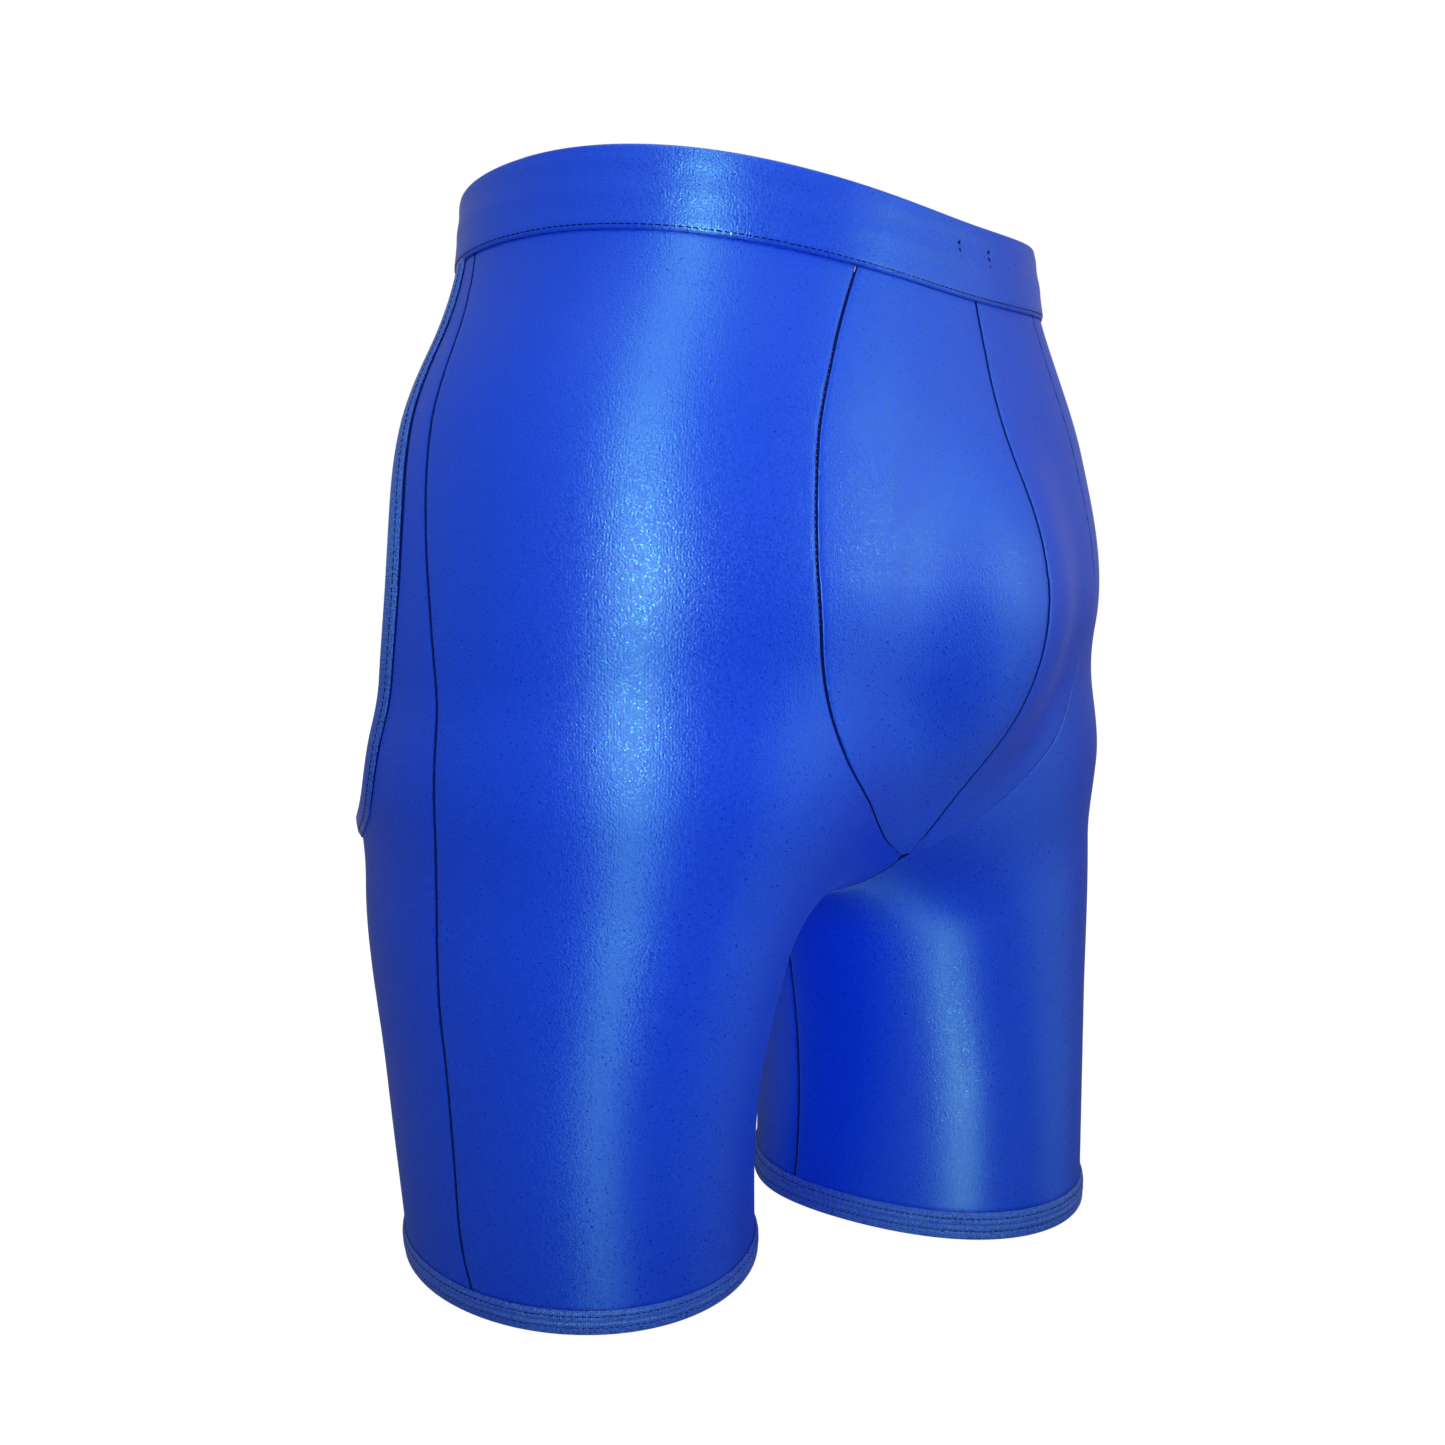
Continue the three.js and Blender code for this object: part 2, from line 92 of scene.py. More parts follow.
def table_at(rows, z):
    heights = rows[:, 0]
    last = len(heights) - 1
    lo = np.maximum(np.arange(last + 1) - 1, 0)
    hi = np.minimum(np.arange(last + 1) + 1, last)
    slopes = (rows[hi, 1:] - rows[lo, 1:]) / (heights[hi] - heights[lo])[:, None]
    at = np.clip(np.asarray(z, float), heights[0], heights[-1])
    k = np.clip(np.searchsorted(heights, at, side="right") - 1, 0, last - 1)
    h = (heights[k + 1] - heights[k])[..., None]
    s = (at - heights[k])[..., None] / h
    near = (2 * s**3 - 3 * s**2 + 1) * rows[k, 1:] + (s**3 - 2 * s**2 + s) * slopes[k] * h
    far = (3 * s**2 - 2 * s**3) * rows[k + 1, 1:] + (s**3 - s**2) * slopes[k + 1] * h
    return np.moveaxis(near + far, -1, 0)


def smooth(x, a, b):
    t = np.clip((x - a) / (b - a), 0, 1)
    return t * t * (3 - 2 * t)


def blend(a, b, k):
    h = np.clip(0.5 + 0.5 * (b - a) / k, 0, 1)
    return b * (1 - h) + a * h - k * h * (1 - h)


def stride_at(x, z):
    left = 1 - z / STRIDE_TOP
    fade = (left + np.hypot(left, STRIDE_ROUND)) / 2
    return x / np.hypot(x, STRIDE_SOFTEN) * STRIDE_REACH * fade


def field(p):
    x, y, z = p[..., 0], p[..., 1], p[..., 2]
    back = y + stride_at(x, z)
    cx, cy, a, b = table_at(LEG, z)
    legs = [(np.hypot((s * x - cx) / a, (back - cy) / b) - 1) * np.sqrt(a * b) for s in (1, -1)]
    d = blend(legs[0], legs[1], BLEND_LEGS) + smooth(z, LEG_END_FROM, LEG_END_TO) * LEG_END_RISE
    w, front, rear = table_at(PELVIS, z)
    depth = np.where(back < 0, front, rear)
    low = np.maximum((SEAT_ROUND_FROM - z) / SEAT_ROUND_DEPTH, 0)
    n = SQUARENESS
    r = (np.abs(x / w) ** n + np.abs(back / depth) ** n + low**n) ** (1 / n)
    d = blend(d, (r - 1) * np.minimum(np.sqrt(w * depth), PELVIS_SCALE), BLEND_PELVIS)
    (py, pz), (rx, ry, rz) = POUCH_PLACE, POUCH_SIZE
    q = np.sqrt((x / rx) ** 2 + ((y - py) / ry) ** 2 + ((z - pz) / rz) ** 2)
    return blend(d, (q - 1) * rx, BLEND_POUCH)


def normal_at(p):
    n = np.stack([field(p + e) - field(p - e) for e in 0.4 * np.eye(3)], -1)
    return n / np.linalg.norm(n, axis=-1, keepdims=True)


def cast(origin, direction):
    # Steps out along each ray, then halves the last step until it lies on the surface.
    direction = direction / np.linalg.norm(direction, axis=-1, keepdims=True)
    hi = np.full(direction.shape[:-1], 4.0)
    for _ in range(90):
        inside = field(origin + direction * hi[..., None]) < 0
        if not inside.any():
            break
        hi = np.where(inside, hi + 4, hi)
    lo = hi - 4
    for _ in range(16):
        mid = (lo + hi) / 2
        inside = field(origin + direction * mid[..., None]) < 0
        lo, hi = np.where(inside, mid, lo), np.where(inside, hi, mid)
    return origin + direction * hi[..., None]


def axis_at(side, z):
    cx, cy, _, _ = table_at(LEG, np.minimum(z, HIP_LEVEL))
    x = side * (cx - HIP_LEAN * np.maximum(z - HIP_LEVEL, 0))
    return np.stack([x, cy - stride_at(x, z), z + 0 * x], -1)


def drop_at(level):
    return WRAP_DROP * smooth(level, WRAP_FROM, WRAP_FULL) * (1 - smooth(level, WRAP_FADE, WRAP_END))


def on_leg(side, turn, level):
    # Turn 0 is the front of the leg, 90 its outer side, -90 the inner side.
    turn, level = np.broadcast_arrays(np.radians(np.asarray(turn, float)), level)
    drop = drop_at(level)
    ray = np.stack([side * np.sin(turn), -np.cos(turn), -drop / WRAP_RADIUS], -1)
    return cast(axis_at(side, level + drop), ray)


def unwrap(side, p, low_turn):
    level = p[..., 2].copy()
    for _ in range(12):
        drop = drop_at(level)
        o = axis_at(side, level + drop)
        reach = np.hypot(p[..., 0] - o[..., 0], p[..., 1] - o[..., 1])
        level = p[..., 2] + drop * (reach / WRAP_RADIUS - 1)
    turn = np.degrees(np.arctan2(side * (p[..., 0] - o[..., 0]), o[..., 1] - p[..., 1]))
    return np.where(turn < low_turn, turn + 360, turn), level


def on_waist(azimuth, z):
    a = np.radians(azimuth)
    z = np.broadcast_to(z, a.shape)
    origin = np.stack([0 * a, 0 * a + WAIST_CENTRE_Y, z], -1)
    return cast(origin, np.stack([np.sin(a), -np.cos(a), 0 * a], -1))


def on_rise(angle):
    # The middle line: 0 is straight down at the crotch, 90 the front of the pouch.
    a = np.radians(np.asarray(angle, float))
    return cast(np.array([0, 0, float(RISE_CENTRE_Z)]), np.stack([0 * a, -np.sin(a), -np.cos(a)], -1))


def on_front(x, z):
    x, z = np.broadcast_arrays(np.asarray(x, float), z)
    origin = np.stack([x, 0 * x + POUCH_CENTRE_Y, z], -1)
    return cast(origin, np.broadcast_to(np.array([0, -1.0, 0]), origin.shape))


HEM_BAND, SEAT_BAND = 12, 8
WAIST_SIDE, WAIST_TOP = 417, 447
FRONT_DIP, BACK_DIP = 15.5, 6
# How far a panel's raw edge reaches up into the band that covers it.
TUCK = 1.2
# Side seam rows: level, turn round the leg. Pouch seams: half width, height. Seat edge: turn, level.
SIDE_SEAM = np.array([[0, 76], [30, 82], [60, 84.5], [100, 88], [140, 91], [185, 90], [230, 85], [265, 84],
                      [305, 86.5], [350, 91.5], [380, 97], [417, 110]], float)
POUCH_SEAM = {
    -1: [(2, 181), (19, 189), (48, 207), (78, 231), (94, 262), (101, 300), (94, 345), (81, 375), (63, 406)],
    1: [(2, 181), (17, 190), (42, 208), (68, 233), (83, 265), (87, 300), (78, 345), (66, 375), (56, 406)],
}
SEAT_EDGE = [(225, 178), (200, 200), (165, 214), (135, 214), (116, 225), (106, 252), (100.5, 283),
             (99.5, 309), (102, 334), (112, 380), (123.5, 415)]
SEAT_EDGE_CENTRE, POUCH_TIP, INSEAM_HEM_TURN = 16, 48, -110


def waist_dip(azimuth):
    c = np.cos(np.radians(azimuth))
    return np.where(c > 0, FRONT_DIP, BACK_DIP) * c * c


def waist_seam_over(p):
    return WAIST_SIDE - waist_dip(np.degrees(np.arctan2(p[..., 0], WAIST_CENTRE_Y - p[..., 1])))


def evenly(line, count):
    s = np.concatenate([[0], np.cumsum(np.linalg.norm(np.diff(line, axis=0), axis=1))])
    at = np.linspace(0, s[-1], count)
    return np.stack([np.interp(at, s, line[:, k]) for k in range(line.shape[1])], -1)


def spaced(points, count, fine=40):
    # A smooth curve through the points, evenly cut.
    p = np.array(points, float)
    p = np.vstack([2 * p[0] - p[1], p, 2 * p[-1] - p[-2]])
    knots = np.concatenate([[0], np.cumsum(np.sqrt(np.linalg.norm(np.diff(p, axis=0), axis=1)))])
    out = []
    for i in range(1, len(p) - 2):
        t0, t1, t2, t3 = knots[i - 1:i + 3]
        t = np.linspace(t1, t2, fine, endpoint=False)[:, None]
        a1 = (t1 - t) / (t1 - t0) * p[i - 1] + (t - t0) / (t1 - t0) * p[i]
        a2 = (t2 - t) / (t2 - t1) * p[i] + (t - t1) / (t2 - t1) * p[i + 1]
        a3 = (t3 - t) / (t3 - t2) * p[i + 1] + (t - t2) / (t3 - t2) * p[i + 2]
        b1 = (t2 - t) / (t2 - t0) * a1 + (t - t0) / (t2 - t0) * a2
        b2 = (t3 - t) / (t3 - t1) * a2 + (t - t1) / (t3 - t1) * a3
        out.append((t2 - t) / (t2 - t1) * b1 + (t - t1) / (t2 - t1) * b2)
    return evenly(np.vstack(out + [p[-2:-1]]), count)


def inseam(side, count, low=HEM_BAND - TUCK):
    turn0, level0 = unwrap(side, on_rise([0.0]), -200)
    level = np.linspace(low, level0[0] - 1.5, count)
    return on_leg(side, turn0 + (INSEAM_HEM_TURN - turn0) * (1 - level / level0), level)


def pouch_seam(side, count):
    xz = spaced(POUCH_SEAM[side], count)
    line = on_front(side * xz[:, 0], xz[:, 1])
    rise = waist_seam_over(line[-1]) + TUCK - line[-1, 2]
    return on_front(line[:, 0], line[:, 2] + rise * np.linspace(0, 1, count) ** 6)


def side_seam(side, count, low=HEM_BAND - TUCK, high=WAIST_SIDE + TUCK):
    level = np.linspace(low, high, count)
    return on_leg(side, table_at(SIDE_SEAM, level)[0], level)


# Shiny nylon and elastane knit: royal blue with very fine upright ribs, and a satin gleam that
# breaks into sparkles.
def add_socket(group, name, kind, inout, value=None):
    made = group.interface.new_socket(name=name, in_out=inout, socket_type=kind)
    if value is not None:
        made.default_value = value


# How fine each part of the pattern is, in repeats for each metre.
RIB_SCALE, GRAIN_SCALE, LOOP_SCALE, PATCH_SCALE = 330, 1300, 1250, 11


def make_knit():
    group = bpy.data.node_groups.new("stretch_knit", "ShaderNodeTree")
    add_socket(group, "Blue", "NodeSocketColor", "INPUT", (0, 0.05, 0.6, 1))
    add_socket(group, "Deep", "NodeSocketColor", "INPUT", (0, 0.03, 0.4, 1))
    add_socket(group, "Ribs", "NodeSocketFloat", "INPUT", 0.2)
    add_socket(group, "Sparkle", "NodeSocketFloat", "INPUT", 0.2)
    add_socket(group, "Base Roughness", "NodeSocketFloat", "INPUT", 0.4)
    add_socket(group, "Color", "NodeSocketColor", "OUTPUT")
    add_socket(group, "Roughness", "NodeSocketFloat", "OUTPUT")
    add_socket(group, "Height", "NodeSocketFloat", "OUTPUT")
    add_socket(group, "Loops", "NodeSocketFloat", "OUTPUT")
    nodes, link = group.nodes, group.links.new
    given, out = nodes.new("NodeGroupInput").outputs, nodes.new("NodeGroupOutput").inputs
    uv = nodes.new("ShaderNodeUVMap")
    uv.uv_map = "cloth"
    place = nodes.new("ShaderNodeTexCoord").outputs["Object"]

    def calc(op, *values):
        node = nodes.new("ShaderNodeMath")
        node.operation = op
        for entry, value in zip(node.inputs, values):
            if isinstance(value, (int, float)):
                entry.default_value = value
            else:
                link(value, entry)
        return node.outputs[0]

    def noise(scale, detail):
        node = nodes.new("ShaderNodeTexNoise")
        node.inputs["Scale"].default_value = scale
        node.inputs["Detail"].default_value = detail
        link(place, node.inputs["Vector"])
        return node.outputs["Fac"]

    wave = nodes.new("ShaderNodeTexWave")
    wave.bands_direction = "X"
    wave.inputs["Scale"].default_value = RIB_SCALE
    wave.inputs["Distortion"].default_value = 0.8
    wave.inputs["Detail"].default_value = 1
    link(uv.outputs[0], wave.inputs["Vector"])
    grain, speck, cloud = noise(GRAIN_SCALE, 1), noise(LOOP_SCALE, 0), noise(PATCH_SCALE, 2)
    ribs = calc("MULTIPLY", wave.outputs["Fac"], given["Ribs"])
    link(calc("ADD", ribs, calc("MULTIPLY", grain, given["Sparkle"])), out["Height"])
    glint = calc("MULTIPLY", calc("SUBTRACT", speck, 0.5), calc("MULTIPLY", given["Sparkle"], 0.8))
    # Single bright loops of yarn: they get a glossy coat, and in the colour below a lighter blue that is a
    # painted glint.
    loop = nodes.new("ShaderNodeMapRange")
    loop.inputs["From Min"].default_value = 0.25
    loop.inputs["From Max"].default_value = 0.7
    link(speck, loop.inputs["Value"])
    brightest = calc("POWER", loop.outputs[0], 3)
    link(calc("MULTIPLY", brightest, calc("MULTIPLY", given["Sparkle"], 0.7)), out["Loops"])
    patch = calc("MULTIPLY", calc("SUBTRACT", cloud, 0.5), 0.12)
    link(calc("ADD", calc("ADD", given["Base Roughness"], glint), patch), out["Roughness"])
    # The colour mixes the darker and brighter blue by fine specks and broad clouds: the clouds are random
    # tone, the fine specks are painted glints standing in for sparkle.
    tone_and_painted_glints = nodes.new("ShaderNodeMix")
    tone_and_painted_glints.data_type = "RGBA"
    fine, broad = calc("MULTIPLY", loop.outputs[0], 0.7), calc("MULTIPLY", cloud, 0.3)
    link(calc("ADD", fine, broad), tone_and_painted_glints.inputs["Factor"])
    link(given["Deep"], tone_and_painted_glints.inputs["A"])
    link(given["Blue"], tone_and_painted_glints.inputs["B"])
    link(tone_and_painted_glints.outputs["Result"], out["Color"])
    return group


KNIT = make_knit()
GLEAM_TINT = (0.3, 1, 0.85, 1)


def make_cloth(name, blue, deep, roughness, ribs=0, sparkle=0, gleam=1, sheen=0, bump=0.6):
    material = bpy.data.materials.new(name)
    material.use_nodes = True
    tree = material.node_tree
    shader = tree.nodes["Principled BSDF"]
    knit = tree.nodes.new("ShaderNodeGroup")
    knit.node_tree = KNIT
    knit.inputs["Blue"].default_value = (*blue, 1)
    knit.inputs["Deep"].default_value = (*deep, 1)
    knit.inputs["Ribs"].default_value = ribs
    knit.inputs["Sparkle"].default_value = sparkle
    knit.inputs["Base Roughness"].default_value = roughness
    relief = tree.nodes.new("ShaderNodeBump")
    relief.inputs["Strength"].default_value = bump
    relief.inputs["Distance"].default_value = 0.0003
    tree.links.new(knit.outputs["Height"], relief.inputs["Height"])
    tree.links.new(relief.outputs["Normal"], shader.inputs["Normal"])
    tree.links.new(knit.outputs["Color"], shader.inputs["Base Color"])
    tree.links.new(knit.outputs["Roughness"], shader.inputs["Roughness"])
    tree.links.new(knit.outputs["Loops"], shader.inputs["Coat Weight"])
    shader.inputs["Coat Roughness"].default_value = 0.42
    # The upright ribs draw every gleam out into a tall streak.
    tangent = tree.nodes.new("ShaderNodeTangent")
    tangent.direction_type = "UV_MAP"
    tangent.uv_map = "cloth"
    tree.links.new(tangent.outputs["Tangent"], shader.inputs["Tangent"])
    shader.inputs["Anisotropic"].default_value = 0.9
    shader.inputs["Anisotropic Rotation"].default_value = 0.25
    shader.inputs["Specular IOR Level"].default_value = gleam
    shader.inputs["IOR"].default_value = 1.7
    shader.inputs["Specular Tint"].default_value = GLEAM_TINT
    shader.inputs["Sheen Weight"].default_value = sheen
    shader.inputs["Sheen Roughness"].default_value = 0.4
    shader.inputs["Sheen Tint"].default_value = (0.40, 0.45, 1, 1)
    return material


# In each cloth the two blues are the ends of the knit's speck mix: their gap sets random tone and also the
# strength of the painted glint speckle.
FACE = make_cloth("face_cloth", (0.002, 0.056, 0.98), (0.001, 0.034, 0.76), 0.45,
                  ribs=0.06, sparkle=0.8, sheen=0.04)
THREAD = make_cloth("sewing_thread", (0.0005, 0.006, 0.14), (0.0005, 0.004, 0.10), 0.6,
                    ribs=0.1, gleam=0.1, bump=0.1)
# The same cloth where it turns down into a seam, squeezed and out of the light: painted shade, coloured far
# darker than the face to stand for the shade in the seam.
SEAM_SHADE_FACE = make_cloth("seam_shade_cloth", (0.001, 0.012, 0.20), (0.001, 0.009, 0.16), 0.7,
                       gleam=0.1, bump=0.1)

CLOTH_THICK = 0.55
# A panel edge turned under at a seam: distance from the seam, height over the cloth.
TURNED_EDGE = [(5.5, -1.3), (4.2, -1.3), (2.6, -1.25), (1.3, -1.15), (0.7, -0.95), (0.45, -0.68),
               (0.5, -0.4), (0.8, -0.18), (1.35, -0.06), (2.2, 0), (3.4, 0), (5, 0)]
# A raw edge hidden in a band: the same count of columns, flat.
RAW_EDGE = [(d, 0) for d in np.linspace(0, 5, len(TURNED_EDGE))]
EDGE_FITS = 16
# Columns from either edge that lie down in the seam, and the height above which cloth is on top.
SEAM_COLUMNS, ON_TOP = 7, -0.2
# Millimetres round a leg for each degree of turn.
ROUND_PER_TURN = 1.66


def add_piece(name, points, faces, material, stands_for, uv=None):
    mesh = bpy.data.meshes.new(name)
    mesh.from_pydata(((points - CENTRE) / 1000).tolist(), [], faces)
    piece = bpy.data.objects.new(name, mesh)
    bpy.context.scene.collection.objects.link(piece)
    mesh.materials.append(material)
    if uv is None:
        uv = points[:, [0, 2]]
    corner = np.empty(len(mesh.loops), int)
    mesh.loops.foreach_get("vertex_index", corner)
    mesh.uv_layers.new(name="cloth").data.foreach_set("uv", (uv[corner] / 1000).ravel())
    mesh.polygons.foreach_set("use_smooth", [True] * len(mesh.polygons))
    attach(piece, "root")
    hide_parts(*stands_for)
    return piece


def close_outwards(piece):
    work = bmesh.new()
    work.from_mesh(piece.data)
    bmesh.ops.recalc_face_normals(work, faces=work.faces)
    work.to_mesh(piece.data)
    work.free()


def grid_faces(rows, columns):
    return [(i * columns + j, i * columns + j + 1, (i + 1) * columns + j + 1, (i + 1) * columns + j)
            for i in range(rows - 1) for j in range(columns - 1)]


def cloth_from_grid(name, points, uv, material, stands_for):
    rows, columns = points.shape[:2]
    piece = add_piece(name, points.reshape(-1, 3), grid_faces(rows, columns), material,
                      stands_for, uv.reshape(-1, 2))
    # Columns that lie down in a seam take the darker seam material, which is painted shade.
    if material == FACE:
        piece.data.materials.append(SEAM_SHADE_FACE)
        column = np.arange(len(piece.data.polygons)) % (columns - 1)
        deep = np.minimum(column, columns - 2 - column) < SEAM_COLUMNS
        piece.data.polygons.foreach_set("material_index", deep.astype(int))
    middle = piece.data.polygons[len(piece.data.polygons) // 2]
    outwards = normal_at(np.array(middle.center) * 1000 + CENTRE)
    if np.dot(outwards, np.array(middle.normal)) < 0:
        piece.data.flip_normals()
    solid = piece.modifiers.new("thickness", "SOLIDIFY")
    solid.thickness = CLOTH_THICK / 1000
    solid.offset = 0
    with bpy.context.temp_override(object=piece, active_object=piece, selected_objects=[piece]):
        bpy.ops.object.modifier_apply(modifier=solid.name)
    return piece


def area_of(points):
    across = points[1:, :-1] - points[:-1, :-1]
    along = points[:-1, 1:] - points[:-1, :-1]
    return np.linalg.norm(np.cross(across, along), axis=-1).sum() / 1e6


def columns_between(place, rows, inner, outer, middle):
    """Shares along each row, and heights, with close columns at both edges. place(u) gives points."""
    ends = [place(np.full((rows, 1), u))[:, 0] for u in (0, 0.02, 0.98, 1)]
    rate0 = np.linalg.norm(ends[1] - ends[0], axis=1) / 0.02
    rate1 = np.linalg.norm(ends[3] - ends[2], axis=1) / 0.02
    fits = np.minimum(1, (rate0 + rate1) / 2 / EDGE_FITS)
    near = inner[..., 0] * (fits / rate0)[:, None]
    far = 1 - outer[..., 0][:, ::-1] * (fits / rate1)[:, None]
    share = np.linspace(0, 1, middle)[1:-1]
    mid = near[:, -1:] + (far[:, :1] - near[:, -1:]) * share
    near_height = inner[..., 1] * fits[:, None]
    far_height = outer[..., 1][:, ::-1] * fits[:, None]
    return np.hstack([near, mid, far]), np.hstack([near_height, np.zeros(mid.shape), far_height])


def folds(p, marks):
    # Small creases, each from one point to another, with a width and a height.
    lift = np.zeros(p.shape[:-1])
    for start, end, width, height in marks:
        a, b = np.array(start, float), np.array(end, float)
        t = np.clip(((p - a) @ (b - a)) / ((b - a) @ (b - a)), 0, 1)
        away = np.linalg.norm(p - (a + t[..., None] * (b - a)), axis=-1)
        lift += height * np.exp(-(away / width) ** 2) * np.sin(np.pi * np.clip(t, 0.1, 0.9))
    return lift


def leg_panel(name, side, boundary, low_turn, shares, turned, middle, marks, stands_for):
    """A panel from its inner boundary to the side seam. turned is 1 where the boundary is sewn."""
    turn0, level0 = unwrap(side, boundary, low_turn)

    def height_at(turn):
        return waist_seam_over(on_leg(side, turn, WAIST_SIDE - 10.0)) - HEM_BAND

    share0 = (level0 - HEM_BAND) / height_at(turn0)
    turn1 = table_at(SIDE_SEAM, HEM_BAND + shares * (WAIST_SIDE - HEM_BAND))[0]

    def wrapped_at(u):
        turn = turn0[:, None] + (turn1 - turn0)[:, None] * u
        return turn, HEM_BAND + (share0[:, None] + (shares - share0)[:, None] * u) * height_at(turn)

    def place(u):
        return on_leg(side, *wrapped_at(u))

    raw, sewn = np.array(RAW_EDGE), np.array(TURNED_EDGE)
    inner = raw + (sewn - raw) * turned[:, None, None]
    outer = np.repeat(sewn[None], len(shares), 0)
    u, height = columns_between(place, len(shares), inner, outer, middle)
    turn, level = wrapped_at(u)
    p = on_leg(side, turn, level)
    uv = np.stack([turn * ROUND_PER_TURN, level], -1)
    ripple = np.sin(level * 1.05 + 3 * np.sin(level * 0.21))
    pucker = 0.06 * np.exp(-np.minimum(u, 1 - u) * 20) * ripple
    lift = height + pucker * (height > ON_TOP) + folds(p, marks)
    p = p + normal_at(p) * lift[..., None]
    piece = cloth_from_grid(name, p, uv, FACE, stands_for)
    return piece, area_of(p)


# Stitches that show lie this far apart, and pull the cloth in at the same pitch.
STITCH_PITCH = 2.6


def stitch_run(line, pitch, length, radius, lift, across=0.0, slant=0.0):
    """Small rounded thread dashes along a line: across moves them sideways, slant turns them."""
    steps_in = np.linalg.norm(np.diff(line, axis=0), axis=1).sum()
    centre = evenly(line, max(2, int(steps_in / pitch)))
    along = np.gradient(centre, axis=0)
    along /= np.linalg.norm(along, axis=1)[:, None]
    out = normal_at(centre)
    beside = np.cross(out, along)
    beside /= np.linalg.norm(beside, axis=1)[:, None]
    flip = np.where(np.arange(len(centre)) % 2, 1, -1)[:, None]
    way = along + beside * slant * flip
    way /= np.linalg.norm(way, axis=1)[:, None]
    wide = np.cross(out, way)
    centre = centre + beside * across + out * lift
    rings = [(-0.5, 0.4), (-0.34, 1), (0.34, 1), (0.5, 0.4)]
    angles = np.radians(np.arange(6) * 60)
    points = [centre + way * length * s + (wide * np.cos(a) + out * np.sin(a) * 0.75) * radius * r
              for s, r in rings for a in angles]
    points = np.stack(points, 1).reshape(-1, 3)
    faces = []
    for i in range(len(centre)):
        b = i * 24
        for k in range(3):
            faces += [(b + k * 6 + j, b + k * 6 + (j + 1) % 6, b + k * 6 + 6 + (j + 1) % 6, b + k * 6 + 6 + j)
                      for j in range(6)]
        faces += [tuple(b + j for j in range(5, -1, -1)), tuple(b + 18 + j for j in range(6))]
    return points, faces


def add_stitches(name, runs, stands_for):
    points, faces, start = [], [], 0
    for run_points, run_faces in runs:
        points.append(run_points)
        faces += [tuple(start + v for v in face) for face in run_faces]
        start += len(run_points)
    piece = add_piece(name, np.vstack(points), faces, THREAD, stands_for)
    close_outwards(piece)
    return piece


def seam_stitches(name, line, stands_for):
    # Lockstitch down in the seam, and overlocking over the turned edges inside.
    runs = [stitch_run(line, pitch=2.3, length=2.1, radius=0.3, lift=-0.5)]
    runs += [stitch_run(line, pitch=1.7, length=4.6, radius=0.16, lift=-1.75, across=across, slant=0.8)
             for across in (-3.0, 3.0)]
    return add_stitches(name, runs, stands_for)


FOLDS_LEFT = [((53.7, -96.4, 38), (88.2, -110.5, 40.3), 1.1, 0.35)]
WORDS = {-1: "right", 1: "left"}

for side, word in WORDS.items():
    leg = inseam(side, 46)
    crotch = on_rise(np.linspace(2, POUCH_TIP - 2, 16))
    pouch = pouch_seam(side, 84)
    shares = np.concatenate([np.linspace(-0.003, 0.34, 46), np.linspace(0.35, 0.47, 16),
                             np.linspace(0.477, 1.003, 84)])
    boundary = np.vstack([leg, crotch, pouch])
    turned = np.ones(len(shares))
    marks = FOLDS_LEFT if side > 0 else []
    cloth, area = leg_panel(word + "_front_cloth", side, boundary, -200, shares, turned, 66, marks,
                            [word + "_front_panel"])
    sewn = [seam_stitches(word + "_side_stitches", side_seam(side, 120, HEM_BAND + 1, WAIST_SIDE - 1),
                          [word + "_side_seam_thread"]),
            seam_stitches(word + "_inseam_stitches", inseam(side, 60, HEM_BAND + 1),
                          [word + "_inseam_thread"]),
            seam_stitches(word + "_pouch_stitches", pouch_seam(side, 120)[3:-2],
                          [word + "_pouch_seam_thread"])]

# ---------------------------------------------------------------- leg back panels
# The narrower back pieces of each leg, from the inner leg seam and the open seat's binding round
# to the side seam, in the same knit.


def seat_edge(side, count):
    start = on_rise([-SEAT_EDGE_CENTRE])
    turn0, level0 = unwrap(side, start, 90)
    wrapped = spaced([(turn0[0], level0[0])] + SEAT_EDGE, 4 * count)
    line = on_leg(side, wrapped[:, 0], wrapped[:, 1])
    line[0] = start[0]
    return evenly(line, count)


def settle(p):
    for _ in range(4):
        p = p - normal_at(p) * field(p)[..., None]
    return p


def beside_edge(side, edge, distance, offset=0.0):
    along = np.gradient(edge, axis=0)
    across = np.cross(normal_at(edge), along)
    across *= side / np.linalg.norm(across, axis=-1, keepdims=True)
    p = settle(edge + across * distance)
    return p + normal_at(p) * np.asarray(offset)[..., None]


SEAT_ROWS = 150
for side, word in WORDS.items():
    leg = inseam(side, 46)
    crotch = on_rise(np.linspace(-1, -SEAT_EDGE_CENTRE / 2, 5))
    seat = beside_edge(side, seat_edge(side, SEAT_ROWS + 3), SEAT_BAND - 1.3)[3:]
    along = np.linspace(0, 1, SEAT_ROWS)
    shares = np.concatenate([np.linspace(-0.003, 0.3, 46), np.linspace(0.305, 0.335, 5),
                             np.interp(along, [0, 0.42, 0.5, 1], [0.34, 0.445, 0.52, 1.003])])
    turned = np.concatenate([np.ones(48), [0.6, 0.3, 0.1], np.zeros(SEAT_ROWS)])
    cloth, area = leg_panel(word + "_back_cloth", side, np.vstack([leg, crotch, seat]), 90, shares,
                            turned, 52, [], [word + "_back_panel"])

# ---------------------------------------------------------------- pouch panels
# Two shaped panels that meet on a curved centre seam and round out the front. A short lining
# inside leaves a faint ridge where its upper edge stops.
LINING_TOP, LINING_RIDGE = 296, 0.3
POUCH_FOLDS = [((-58.5, -126, 279), (-52, -129, 262), 2.0, -0.5),
               ((-39.5, -137, 293), (-35.5, -140.7, 261), 3.5, 0.45),
               ((-62, -124, 268), (-49, -130.5, 266), 2.2, 0.3)]
LINING = make_cloth("lining_cloth", (0.012, 0.085, 0.58), (0.008, 0.06, 0.45), 0.85,
                    ribs=0.5, gleam=0.2, sheen=0.2, bump=0.3)


